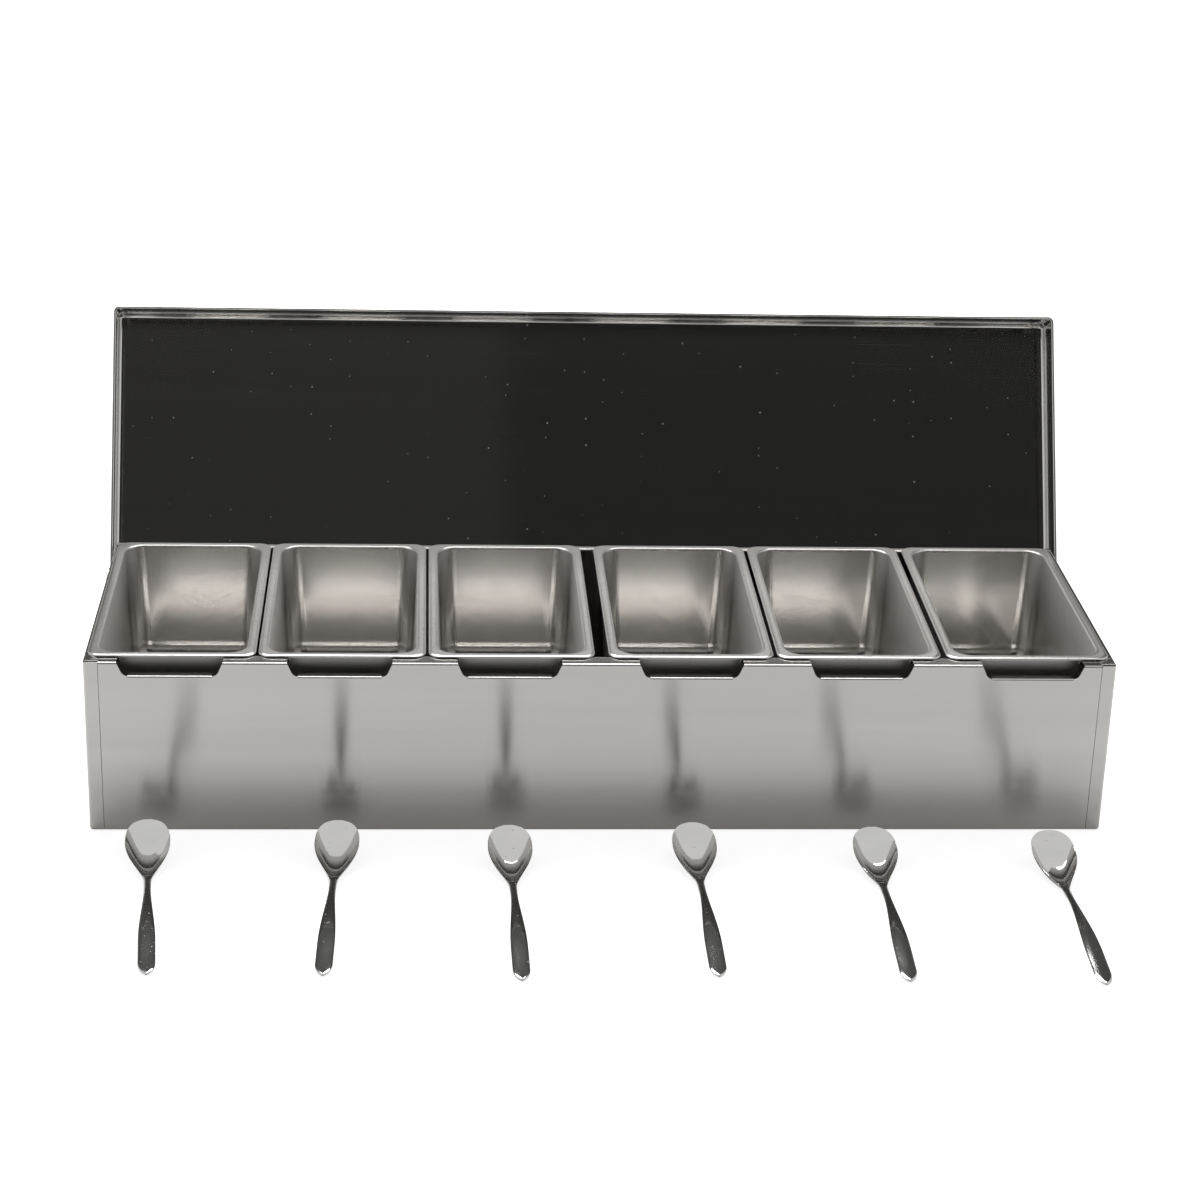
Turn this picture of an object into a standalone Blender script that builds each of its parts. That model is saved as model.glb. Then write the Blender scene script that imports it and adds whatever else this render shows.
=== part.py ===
"""Stainless steel ingredient box: a welded sheet housing that carries six lift-out pans,
a hinged cover that stands open on its stop, and six spoons laid on the table in front.

Metres, +Z up, +X along the box, -Y towards the cook. The origin is the centre of the
housing's underside.
"""
from math import cos, pi, radians, sin, sqrt, tan

import bmesh
import bpy
from mathutils import Matrix, Vector

# Housing
LENGTH = 0.525            # outside, end plate to end plate
DEPTH = 0.165             # outside, front panel to rear panel
HEIGHT = 0.094            # table to the seat that the pan rims rest on
SHEET = 0.0008            # sheet thickness of the housing
BEND_RADIUS = 0.0016      # outside radius of the housing's folds
SEAT_BEND = 0.0010        # outside radius of the tighter folds at the seats
SEAT_LIP = 0.0030         # the seats' inner edges are turned down by this much
END_WIDTH = 0.0074        # how far an end plate wraps round onto the front and the rear
CLEARANCE = 0.0003        # gap between pieces that touch

# Finger notches in the front seat
# centres, as shares of the length from the middle
NOTCH_PLACES = (-0.4178, -0.2556, -0.0922, 0.0838, 0.2502, 0.4182)
NOTCH_TOP_WIDTH = 0.0530
NOTCH_FLARE = 0.0032      # how far each side leans in from top to bottom
NOTCH_DEPTH = 0.0074
NOTCH_CORNER = 0.0022
NOTCH_LIP = 0.0045        # inward lip along the foot of each notch

# Joggled lips of the wrap that the end plates' folded edges are welded to
LIP_OVERLAP = 0.003       # how far back the lip starts behind the wrap's own sheet
LIP_SHORT = 0.004         # the lips stop this far under the seats

# Pans
PAN_COUNT = 6
PAN_PLAY = 0.0027         # side play that each pan has in its share of the length
# centres, as shares of the length from the middle
PAN_PLACES = (-0.4172, -0.2538, -0.0900, 0.0847, 0.2494, 0.4159)
RIM_FRONT_SETBACK = 0.0067
RIM_REAR_SETBACK = 0.0013
RIM_WIDTH = 0.0048        # rim's outer edge to the inside wall
RIM_EDGE = 0.0008         # radius by which the rim's outer edge is turned down
RIM_SKIRT = 0.0002        # straight stretch under that radius
RIM_CORNER = 0.0065
RIM_ROLL = 0.0010         # radius where the flat rim rolls down into the wall
MOUTH_CORNER = 0.0100
PAN_DEPTH = 0.070
PAN_SHEET = 0.0007
PAN_DRAFT = radians(2.5)
PAN_FLOOR_RADIUS = 0.014
PAN_FLOOR_CORNER = 0.0052  # the walls' corner radius where they meet the flat floor
SEAT_GAP = 0.0008         # pan wall to the edge of the seat it passes

# Cover
COVER_SHEET = 0.0008
COVER_DROP = 0.026        # depth of the cover's flanges
COVER_BEND = 0.0020
COVER_HEM = 0.005         # height of the folded hem along the flanges' free edges
COVER_SIDE_GAP = 0.0015   # hem to end plate
COVER_FRONT_GAP = 0.0016  # hem to front panel, so that the corner swings clear
HINGE_FROM_REAR = 0.0140  # hinge axis, ahead of the rear panel's outer face
HINGE_BELOW_SEAT = 0.0170  # hinge axis, under the seats
OPEN_ANGLE = radians(117)
EAR_RADIUS = 0.0075

# Hinge hardware
PIN_RADIUS = 0.0020
PIN_HEAD_RADIUS = 0.0045
PIN_HEAD_HEIGHT = 0.0016
PIN_TAIL_RADIUS = 0.0032
PIN_TAIL_HEIGHT = 0.0011
WASHER_RADIUS = 0.0046
BACKING_THICKNESS = 0.0006

# Spoons
SPOON_LENGTH = 0.132
BOWL_WIDTH = 0.0225
BOWL_LENGTH = 0.046
BOWL_WIDEST = 0.0148      # from the tip
BOWL_BLUNTNESS = 2.6      # exponent of the oval before the widest place; 2 is an ellipse
BOWL_FLANK = 1.5          # exponent of the cosine by which the bowl narrows behind it
BOWL_DEPTH = 0.0066
HOLLOW_SHARE = 0.92       # how far along the bowl its hollow runs
HOLLOW_FULLNESS = 0.8     # exponent of the sine that the hollow follows; 1 is a plain sine
BOWL_THICKNESS = 0.0010
TIP_HEIGHT = 0.0145       # how high the bowl's tip stands over the table
NECK_WIDTH = 0.0036
NECK_HEIGHT = 0.0050
NECK_THICKNESS = 0.0026
THICKEN_FROM = 0.7        # share of the bowl's length behind which it thickens to the neck
HANDLE_WIDTH = 0.0084
HANDLE_TIP = 0.0085       # length of the handle's rounded end
HANDLE_THICKNESS = 0.0015
HANDLE_RISE = 0.0018      # how far the handle arches up along its length
WIDEN_FROM = 0.1          # share of the handle's length where it starts to widen and come down
WIDEN_OVER = 0.6          # share over which it reaches its full width
EDGE_THINNING = 0.35      # share of the thickness that the long edges lose
UNDERSIDE = 0.97          # width of the underside as a share of the upper side's
FIRST_SECTION = 0.0004    # the spoon's blunt tip is this far behind the point of its oval
TURNS_AT_END = (0.35, 0.65, 0.87, 0.98)  # sections round the handle's end, in shares of it
# tip across the box in shares of its length, tip ahead of the front panel in shares of the
# spoon's length, and turn in degrees
SPOON_PLACES = (
    (-0.4404, 0.121, 4.9),
    (-0.2569, 0.129, -1.5),
    (-0.0922, 0.169, 1.3),
    (0.0865, 0.147, 0.8),
    (0.2618, 0.185, -0.2),
    (0.4352, 0.213, 0.5),
)

FRONT = -DEPTH / 2
REAR = DEPTH / 2
END_X = LENGTH / 2
HINGE_Y = REAR - HINGE_FROM_REAR
HINGE_HEIGHT = HEIGHT - HINGE_BELOW_SEAT
EAR_OUT_X = END_X + COVER_SIDE_GAP + 2 * COVER_SHEET
EAR_IN_X = EAR_OUT_X - COVER_SHEET
HOLE_RADIUS = PIN_RADIUS + CLEARANCE
RIM_TOP = HEIGHT + CLEARANCE + RIM_SKIRT + RIM_EDGE
PLATE_FACE = END_X - SHEET  # inner face of an end plate


def clear_scene():
    for obj in list(bpy.data.objects):
        bpy.data.objects.remove(obj)


def collection(name):
    group = bpy.data.collections.new(name)
    bpy.context.scene.collection.children.link(group)
    return group


def steel(name, colour, roughness):
    """A bare stainless finish."""
    mat = bpy.data.materials.new(name)
    mat.use_nodes = True
    shader = mat.node_tree.nodes["Principled BSDF"]
    shader.inputs["Base Color"].default_value = (*colour, 1.0)
    shader.inputs["Roughness"].default_value = roughness
    shader.inputs["Metallic"].default_value = 1.0
    return mat


def add_object(name, mesh, group, mat=None, parent=None):
    obj = bpy.data.objects.new(name, mesh)
    group.objects.link(obj)
    if mat:
        mesh.materials.clear()
        mesh.materials.append(mat)
    if parent:
        obj.parent = parent
    return obj


def add_empty(name, group, location):
    empty = bpy.data.objects.new(name, None)
    empty.location = location
    group.objects.link(empty)
    return empty


def mesh_from(bm, name):
    mesh = bpy.data.meshes.new(name)
    bm.to_mesh(mesh)
    bm.free()
    return mesh


def box_mesh(name, low, high, open_sides=()):
    """A cube primitive stretched from low to high, with the named sides taken off."""
    bm = bmesh.new()
    bmesh.ops.create_cube(bm, size=1.0)
    low = Vector(low)
    high = Vector(high)
    for vert in bm.verts:
        for axis in range(3):
            vert.co[axis] = high[axis] if vert.co[axis] > 0 else low[axis]
    gone = [face for face in bm.faces if any(face.normal.dot(Vector(side)) > 0.9 for side in open_sides)]
    bmesh.ops.delete(bm, geom=gone, context="FACES")
    return mesh_from(bm, name)


def cylinder_mesh(name, radius, x_from, x_to, segments=24):
    """A cylinder primitive laid along X, centred on Y = Z = 0."""
    bm = bmesh.new()
    place = Matrix.Translation(((x_from + x_to) / 2, 0, 0)) @ Matrix.Rotation(pi / 2, 4, "Y")
    bmesh.ops.create_cone(bm, cap_ends=True, segments=segments, radius1=radius, radius2=radius,
                          depth=abs(x_to - x_from), matrix=place)
    return mesh_from(bm, name)


def fold(obj, thickness, radius, limit="ANGLE", segments=3):
    """Round the folds of an open surface and give it the sheet's thickness, inwards. With the
    limit WEIGHT each fold's radius is the given one times its edge's bevel weight."""
    bend = obj.modifiers.new("bend", "BEVEL")
    bend.width = radius
    bend.segments = segments
    bend.limit_method = limit
    bend.angle_limit = radians(30)
    gauge = obj.modifiers.new("gauge", "SOLIDIFY")
    gauge.thickness = thickness
    gauge.offset = -1.0
    gauge.use_even_offset = True


def combine(obj, other, operation):
    other.hide_render = True
    other.display_type = "WIRE"
    step = obj.modifiers.new(other.name, "BOOLEAN")
    step.operation = operation
    step.solver = "EXACT"
    step.object = other


def smooth(mesh, angle=35):
    mesh.shade_smooth()
    mesh.set_sharp_from_angle(angle=radians(angle))


def notch_outline(centre):
    """Trapezoid with rounded feet, open above the seat, as a closed (x, z) loop."""
    top_half = NOTCH_TOP_WIDTH / 2
    foot_half = top_half - NOTCH_FLARE
    foot = HEIGHT - NOTCH_DEPTH
    above = HEIGHT + NOTCH_DEPTH
    lean = NOTCH_FLARE / NOTCH_DEPTH
    corner = []
    for step in range(4):
        share = step / 3
        # quadratic curve from the leaning side, round the foot, onto the floor of the notch
        start = Vector((foot_half + lean * NOTCH_CORNER, foot + NOTCH_CORNER))
        knee = Vector((foot_half, foot))
        end = Vector((foot_half - NOTCH_CORNER, foot))
        corner.append(start * (1 - share) ** 2 + knee * 2 * share * (1 - share) + end * share ** 2)
    right = [Vector((top_half + lean * NOTCH_DEPTH, above))] + corner
    left = [Vector((-p.x, p.y)) for p in reversed(right)]
    return [(centre + p.x, p.y) for p in right + left]


def prism_mesh(name, outline, y_from, y_to):
    """A closed (x, z) outline carried along Y, capped at both ends."""
    bm = bmesh.new()
    near = [bm.verts.new((x, y_from, z)) for x, z in outline]
    face = bm.faces.new(near)
    grown = bmesh.ops.extrude_face_region(bm, geom=[face])
    moved = [item for item in grown["geom"] if isinstance(item, bmesh.types.BMVert)]
    bmesh.ops.translate(bm, verts=moved, vec=(0, y_to - y_from, 0))
    bmesh.ops.recalc_face_normals(bm, faces=bm.faces)
    return mesh_from(bm, name)


def make_wrap(parts, cutters, mat):
    """Front, floor and rear folded from one sheet, with a seat turned in along each long edge."""
    wall_offset = RIM_WIDTH - PAN_SHEET
    front_seat = FRONT + RIM_FRONT_SETBACK + wall_offset - SEAT_GAP
    rear_seat = REAR - RIM_REAR_SETBACK - wall_offset + SEAT_GAP
    path = (
        (front_seat, HEIGHT - SEAT_LIP),
        (front_seat, HEIGHT),
        (FRONT, HEIGHT),
        (FRONT, 0.0),
        (REAR, 0.0),
        (REAR, HEIGHT),
        (rear_seat, HEIGHT),
        (rear_seat, HEIGHT - SEAT_LIP),
    )
    half = END_X - END_WIDTH - CLEARANCE / 2
    bm = bmesh.new()
    left = [bm.verts.new((-half, y, z)) for y, z in path]
    right = [bm.verts.new((half, y, z)) for y, z in path]
    for i in range(len(path) - 1):
        bm.faces.new((left[i], left[i + 1], right[i + 1], right[i]))
    weight = bm.edges.layers.float.new("bevel_weight_edge")
    for i in range(1, len(path) - 1):
        at_seat = path[i][1] > HEIGHT / 2
        bm.edges.get((left[i], right[i]))[weight] = SEAT_BEND / BEND_RADIUS if at_seat else 1.0
    wrap = add_object("housing_wrap", mesh_from(bm, "housing_wrap"), parts, mat)
    fold(wrap, SHEET, BEND_RADIUS, "WEIGHT")
    cut_notches(wrap, cutters, front_seat + SHEET)
    for side in (-1, 1):
        add_joggles(wrap, cutters, side, half)
        for word, seat, wall in (("front", front_seat, FRONT), ("rear", rear_seat, REAR)):
            add_seat_end(wrap, cutters, side, word, half, seat, wall)
    return wrap


def cut_notches(wrap, cutters, y_end):
    """Finger notches through the front seat, each with a short lip turned in at its foot."""
    foot = HEIGHT - NOTCH_DEPTH
    lip_half = NOTCH_TOP_WIDTH / 2 - NOTCH_FLARE - NOTCH_CORNER
    bite = SHEET / 4
    for number, place in enumerate(NOTCH_PLACES, 1):
        centre = place * LENGTH
        cut = prism_mesh(f"notch_cut_{number}", notch_outline(centre), FRONT - SHEET, y_end)
        combine(wrap, add_object(f"notch_cut_{number}", cut, cutters), "DIFFERENCE")
        lip = box_mesh(f"notch_lip_{number}", (centre - lip_half, FRONT + bite, foot - SHEET),
                       (centre + lip_half, FRONT + NOTCH_LIP, foot))
        combine(wrap, add_object(f"notch_lip_{number}", lip, cutters), "UNION")


def add_joggles(wrap, cutters, side, half):
    """Lips stepped in by the sheet's thickness, behind an end plate's front, floor and rear."""
    bite = SHEET * 0.6
    near = SHEET + CLEARANCE
    far = near + SHEET
    start = half - LIP_OVERLAP
    end = PLATE_FACE - CLEARANCE
    outline = [(start, bite), (half, bite), (half, near), (end, near), (end, far), (start, far)]
    outline = [(side * x, depth) for x, depth in outline]
    corner = 3 * SHEET
    top = HEIGHT - LIP_SHORT
    runs = (
        ("front", -top, -corner, FRONT, -pi / 2),
        ("floor", FRONT + corner, REAR - corner, 0.0, 0.0),
        ("rear", corner, top, REAR, pi / 2),
    )
    for word, run_from, run_to, y, turn in runs:
        name = f"lip_{word}_{'left' if side < 0 else 'right'}"
        lip = add_object(name, prism_mesh(name, outline, run_from, run_to), cutters)
        lip.location = (0, y, 0)
        lip.rotation_euler = (turn, 0, 0)
        combine(wrap, lip, "UNION")


def add_seat_end(wrap, cutters, side, word, half, seat, wall):
    """Flat strip, a little thinner than the seat, that carries it on from the end of the wrap
    to the end plate, inside the plate's folded edge."""
    inward = 1 if seat > wall else -1
    bite = SHEET / 8
    y_low, y_high = sorted((wall + inward * (SHEET + CLEARANCE), seat - inward * (SEAT_BEND + bite)))
    x_low, x_high = sorted((side * (half - LIP_OVERLAP), side * (PLATE_FACE - CLEARANCE)))
    name = f"seat_end_{word}_{'left' if side < 0 else 'right'}"
    strip = box_mesh(name, (x_low, y_low, HEIGHT - SHEET + bite), (x_high, y_high, HEIGHT - bite))
    combine(wrap, add_object(name, strip, cutters), "UNION")


def make_end_plate(side, parts, cutters, mat):
    """End plate with its edges folded onto the front, the floor and the rear."""
    name = "end_plate_left" if side < 0 else "end_plate_right"
    edges = sorted((side * END_X, side * (END_X - END_WIDTH + CLEARANCE / 2)))
    mesh = box_mesh(name, (edges[0], FRONT, 0.0), (edges[1], REAR, HEIGHT),
                    open_sides=((-side, 0, 0), (0, 0, 1)))
    plate = add_object(name, mesh, parts, mat)
    fold(plate, SHEET, BEND_RADIUS)
    reach = 4 * SHEET
    hole = cylinder_mesh(f"{name}_hole", HOLE_RADIUS, side * (END_X - reach), side * (END_X + reach))
    cutter = add_object(f"{name}_hole", hole, cutters)
    cutter.location = (0, HINGE_Y, HINGE_HEIGHT)
    combine(plate, cutter, "DIFFERENCE")
    return plate


def cover_reach_behind_axis():
    """How far the cover runs behind the hinge so that its rear edge meets the rear panel,
    just clear of it, when the cover stands at its open angle."""
    inner = COVER_DROP - COVER_SHEET
    wall = HINGE_FROM_REAR + CLEARANCE
    return (inner * sin(OPEN_ANGLE) - wall) / -cos(OPEN_ANGLE)


def make_cover(parts, cutters, mat, axis):
    """Shallow cover: a top sheet with its front and sides folded down and hemmed, and an ear
    at each end for the hinge. It is drawn shut, about the hinge axis, then swung open."""
    half = EAR_OUT_X
    front = FRONT - COVER_FRONT_GAP - 2 * COVER_SHEET - HINGE_Y
    rear = cover_reach_behind_axis()
    mesh = box_mesh("cover", (-half, front, 0.0), (half, rear, COVER_DROP),
                    open_sides=((0, 0, -1), (0, 1, 0)))
    cover = add_object("cover", mesh, parts, mat, axis)
    fold(cover, COVER_SHEET, COVER_BEND)
    hem_end = -EAR_RADIUS - COVER_SHEET
    bite = COVER_SHEET / 3
    pieces = {
        "cover_hem_front": ((-half + COVER_BEND, front + COVER_SHEET - bite, 0.0),
                            (half - COVER_BEND, front + 2 * COVER_SHEET, COVER_HEM)),
    }
    for side, word in ((-1, "left"), (1, "right")):
        inner = half - 2 * COVER_SHEET
        outer = half - COVER_SHEET + bite
        x_low, x_high = sorted((side * inner, side * outer))
        pieces[f"cover_hem_{word}"] = ((x_low, front + COVER_BEND, 0.0), (x_high, hem_end, COVER_HEM))
    for name, (low, high) in pieces.items():
        combine(cover, add_object(name, box_mesh(name, low, high), cutters, parent=axis), "UNION")
    for side, word in ((-1, "left"), (1, "right")):
        ear = cylinder_mesh(f"cover_ear_{word}", EAR_RADIUS, side * EAR_IN_X, side * EAR_OUT_X, 32)
        combine(cover, add_object(f"cover_ear_{word}", ear, cutters, parent=axis), "UNION")
        hole = cylinder_mesh(f"cover_ear_hole_{word}", HOLE_RADIUS, side * (EAR_IN_X - SHEET),
                             side * (EAR_OUT_X + SHEET))
        combine(cover, add_object(f"cover_ear_hole_{word}", hole, cutters, parent=axis), "DIFFERENCE")
    return cover


def turned(name, profile, parts, mat, location, side, ring=False, steps=24):
    """A profile of (radius, height) pairs, top to bottom, screwed about Z and laid along X."""
    bm = bmesh.new()
    verts = [bm.verts.new((radius, 0, height)) for radius, height in profile]
    for a, b in zip(verts, verts[1:]):
        bm.edges.new((a, b))
    if ring:
        bm.edges.new((verts[-1], verts[0]))
    obj = add_object(name, mesh_from(bm, name), parts, mat)
    screw = obj.modifiers.new("turn", "SCREW")
    screw.steps = steps
    screw.render_steps = steps
    screw.use_merge_vertices = True
    screw.merge_threshold = 0.00001
    screw.use_smooth_shade = True
    obj.location = location
    obj.rotation_euler = (0, side * pi / 2, 0)
    return obj


def make_hinge(side, parts, pin_mat, washer_mat):
    """A riveted pin through the cover's ear and the end plate, with a spacing washer that fills
    the room between them and a backing washer under the closed tail. Heights are measured
    outwards along X."""
    word = "left" if side < 0 else "right"
    head_in = EAR_OUT_X + CLEARANCE
    backing_out = PLATE_FACE - CLEARANCE
    backing_in = backing_out - BACKING_THICKNESS
    tail_out = backing_in - CLEARANCE
    tail_in = tail_out - PIN_TAIL_HEIGHT
    dome = [(PIN_HEAD_RADIUS * sin(a), head_in + PIN_HEAD_HEIGHT * cos(a))
            for a in (pi / 2 * i / 5 for i in range(6))]
    pin = dome + [
        (PIN_RADIUS, head_in),
        (PIN_RADIUS, tail_out),
        (PIN_TAIL_RADIUS, tail_out),
        (PIN_TAIL_RADIUS, tail_in + PIN_TAIL_HEIGHT / 3),
        (PIN_TAIL_RADIUS - PIN_TAIL_HEIGHT / 3, tail_in),
        (0.0, tail_in),
    ]
    place = (0, HINGE_Y, HINGE_HEIGHT)
    turned(f"hinge_pin_{word}", pin, parts, pin_mat, place, side)
    spacer = (f"hinge_spacer_{word}", END_X + CLEARANCE, EAR_IN_X - CLEARANCE)
    backing = (f"hinge_backing_{word}", backing_in, backing_out)
    for name, low, high in (spacer, backing):
        section = [(HOLE_RADIUS, high), (WASHER_RADIUS, high), (WASHER_RADIUS, low), (HOLE_RADIUS, low)]
        turned(name, section, parts, washer_mat, place, side, ring=True)


def rounded_rectangle(half_x, half_y, radius, z, segments=5):
    """Points of one level of a pan, anticlockwise seen from above."""
    points = []
    for quarter, (sx, sy) in enumerate(((1, 1), (-1, 1), (-1, -1), (1, -1))):
        for step in range(segments + 1):
            angle = pi / 2 * (quarter + step / segments)
            points.append((sx * (half_x - radius) + radius * cos(angle),
                           sy * (half_y - radius) + radius * sin(angle), z))
    return points


def loft(bm, rings, closed_first=False, closed_last=False):
    """Join like rings of points with quads, and cap the ends that are asked for."""
    levels = [[bm.verts.new(p) for p in ring] for ring in rings]
    count = len(levels[0])
    for upper, lower in zip(levels, levels[1:]):
        for i in range(count):
            j = (i + 1) % count
            bm.faces.new((upper[i], upper[j], lower[j], lower[i]))
    if closed_first:
        bm.faces.new(list(reversed(levels[0])))
    if closed_last:
        bm.faces.new(levels[-1])


def pan_levels():
    """(inset from the rim's edge, drop below the rim's top, corner radius) down the pan."""
    levels = [(0.0, RIM_EDGE + RIM_SKIRT, RIM_CORNER)]
    for step in range(3):
        angle = pi / 2 * step / 2
        levels.append((RIM_EDGE * (1 - cos(angle)), RIM_EDGE * (1 - sin(angle)), RIM_CORNER))
    for step in range(4):
        angle = pi / 2 * step / 3
        inset = RIM_WIDTH - RIM_ROLL + RIM_ROLL * sin(angle)
        levels.append((inset, RIM_ROLL * (1 - cos(angle)), MOUTH_CORNER))
    wall_foot = PAN_DEPTH - PAN_FLOOR_RADIUS
    lean = tan(PAN_DRAFT) * (wall_foot - RIM_ROLL)
    for step in range(6):
        angle = pi / 2 * step / 5
        round_in = PAN_FLOOR_RADIUS * (1 - cos(angle))
        levels.append((RIM_WIDTH + lean + round_in, wall_foot + PAN_FLOOR_RADIUS * sin(angle),
                       MOUTH_CORNER - (MOUTH_CORNER - PAN_FLOOR_CORNER) * round_in / PAN_FLOOR_RADIUS))
    return levels


def pan_mesh(half_x, half_y):
    """Deep-drawn pan as the open surface of its upper face, origin at the rim's top centre."""
    bm = bmesh.new()
    rings = [rounded_rectangle(half_x - inset, half_y - inset, radius, -drop)
             for inset, drop, radius in pan_levels()]
    loft(bm, rings, closed_last=True)
    mesh = mesh_from(bm, "pan")
    smooth(mesh, 50)
    return mesh


def make_pans(parts, mat):
    half_x = ((LENGTH - 2 * SHEET) / PAN_COUNT - PAN_PLAY) / 2
    front = FRONT + RIM_FRONT_SETBACK
    rear = REAR - RIM_REAR_SETBACK
    mesh = pan_mesh(half_x, (rear - front) / 2)
    for number, place in enumerate(PAN_PLACES, 1):
        pan = add_object(f"pan_{number}", mesh, parts, mat)
        pan.location = (place * LENGTH, (front + rear) / 2, RIM_TOP)
        gauge = pan.modifiers.new("gauge", "SOLIDIFY")
        gauge.thickness = PAN_SHEET
        gauge.offset = -1.0
        gauge.use_even_offset = True


def ease(share):
    """0 to 1 with a level start and finish."""
    share = min(max(share, 0.0), 1.0)
    return share * share * (3 - 2 * share)


def spoon_section(s):
    """Half width, height of the edge, hollow and thickness at distance s behind the tip."""
    neck = BOWL_LENGTH
    foot = SPOON_LENGTH
    if s < BOWL_WIDEST:
        before = ((BOWL_WIDEST - s) / BOWL_WIDEST) ** BOWL_BLUNTNESS
        half = BOWL_WIDTH / 2 * max(1 - before, 0.0) ** (1 / BOWL_BLUNTNESS)
    elif s < neck:
        share = (s - BOWL_WIDEST) / (neck - BOWL_WIDEST)
        half = NECK_WIDTH / 2 + (BOWL_WIDTH - NECK_WIDTH) / 2 * cos(pi / 2 * share) ** BOWL_FLANK
    else:
        share = (s - neck) / (foot - neck)
        half = NECK_WIDTH / 2 + (HANDLE_WIDTH - NECK_WIDTH) / 2 * ease((share - WIDEN_FROM) / WIDEN_OVER)
        left = min((foot - s) / HANDLE_TIP, 1.0)
        half *= sqrt(max(1 - (1 - left) ** 2, 0.0))
    if s < neck:
        share = s / neck
        hollow = BOWL_DEPTH * max(sin(pi * min(share / HOLLOW_SHARE, 1.0)), 0.0) ** HOLLOW_FULLNESS
        # the bowl's edge sags in one even curve from the tip to the neck, through the height
        # at half way that lets the bowl rest on the table
        pull = 2 * (BOWL_DEPTH + BOWL_THICKNESS) - (TIP_HEIGHT + NECK_HEIGHT) / 2
        edge = TIP_HEIGHT * (1 - share) ** 2 + 2 * pull * share * (1 - share) + NECK_HEIGHT * share ** 2
        thicker = ease((share - THICKEN_FROM) / (1 - THICKEN_FROM))
        thick = BOWL_THICKNESS + (NECK_THICKNESS - BOWL_THICKNESS) * thicker
    else:
        share = (s - neck) / (foot - neck)
        hollow = 0.0
        edge = NECK_HEIGHT + (HANDLE_THICKNESS - NECK_HEIGHT) * ease((share - WIDEN_FROM) / (1 - WIDEN_FROM))
        edge += HANDLE_RISE * sin(pi * share)
        thick = NECK_THICKNESS + (HANDLE_THICKNESS - NECK_THICKNESS) * ease(share / WIDEN_OVER)
    return half, edge, hollow, thick


def spoon_mesh():
    """Spoon laid flat, bowl up, tip at the origin and handle towards -Y: sections lofted
    from tip to end, each an upper face over a lower one."""
    stations = [BOWL_WIDEST * (1 - cos(pi / 2 * i / 4)) for i in range(4)]
    stations[0] = FIRST_SECTION
    stations += [BOWL_WIDEST + (BOWL_LENGTH - BOWL_WIDEST) * i / 6 for i in range(7)]
    straight = SPOON_LENGTH - HANDLE_TIP
    stations += [BOWL_LENGTH + (straight - BOWL_LENGTH) * i / 7 for i in range(1, 8)]
    stations += [straight + HANDLE_TIP * share for share in TURNS_AT_END]
    across = 6
    rings = []
    for s in stations:
        half, edge, hollow, thick = spoon_section(s)
        upper = []
        lower = []
        for i in range(across + 1):
            u = 2 * i / across - 1
            dip = hollow * (1 - u * u)
            upper.append((half * u, -s, edge - dip))
            thinner = thick * (1 - EDGE_THINNING * u * u)
            lower.append((half * u * UNDERSIDE, -s, edge - dip - thinner))
        rings.append(upper + list(reversed(lower)))
    lowest = min(p[2] for ring in rings for p in ring)
    rings = [[(x, y, z - lowest) for x, y, z in ring] for ring in rings]
    bm = bmesh.new()
    loft(bm, rings, closed_first=True, closed_last=True)
    bmesh.ops.recalc_face_normals(bm, faces=bm.faces)
    mesh = mesh_from(bm, "spoon")
    smooth(mesh, 60)
    return mesh


def make_spoons(parts, mat):
    mesh = spoon_mesh()
    for number, (across, ahead, turn) in enumerate(SPOON_PLACES, 1):
        spoon = add_object(f"spoon_{number}", mesh, parts, mat)
        spoon.location = (across * LENGTH, FRONT - ahead * SPOON_LENGTH, 0)
        spoon.rotation_euler = (0, 0, radians(turn))


def main():
    clear_scene()
    parts = collection("ingredient_box")
    cutters = collection("cutters")
    brushed = steel("brushed_sheet", (0.62, 0.61, 0.58), 0.34)
    mirror = steel("mirror_sheet", (0.66, 0.66, 0.65), 0.10)
    satin = steel("satin_pan", (0.70, 0.69, 0.67), 0.20)
    polished = steel("polished_spoon", (0.78, 0.78, 0.77), 0.08)
    rivet = steel("rivet", (0.60, 0.60, 0.59), 0.25)
    make_wrap(parts, cutters, brushed)
    for side in (-1, 1):
        make_end_plate(side, parts, cutters, brushed)
    axis = add_empty("cover_axis", parts, (0, HINGE_Y, HINGE_HEIGHT))
    make_cover(parts, cutters, mirror, axis)
    axis.rotation_euler = (-OPEN_ANGLE, 0, 0)
    for side in (-1, 1):
        make_hinge(side, parts, rivet, rivet)
    make_pans(parts, satin)
    make_spoons(parts, polished)


main()
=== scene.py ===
"""Stainless steel ingredient box with its cover standing open, six lift-out pans in the
housing and six spoons laid on the table in front."""

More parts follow.
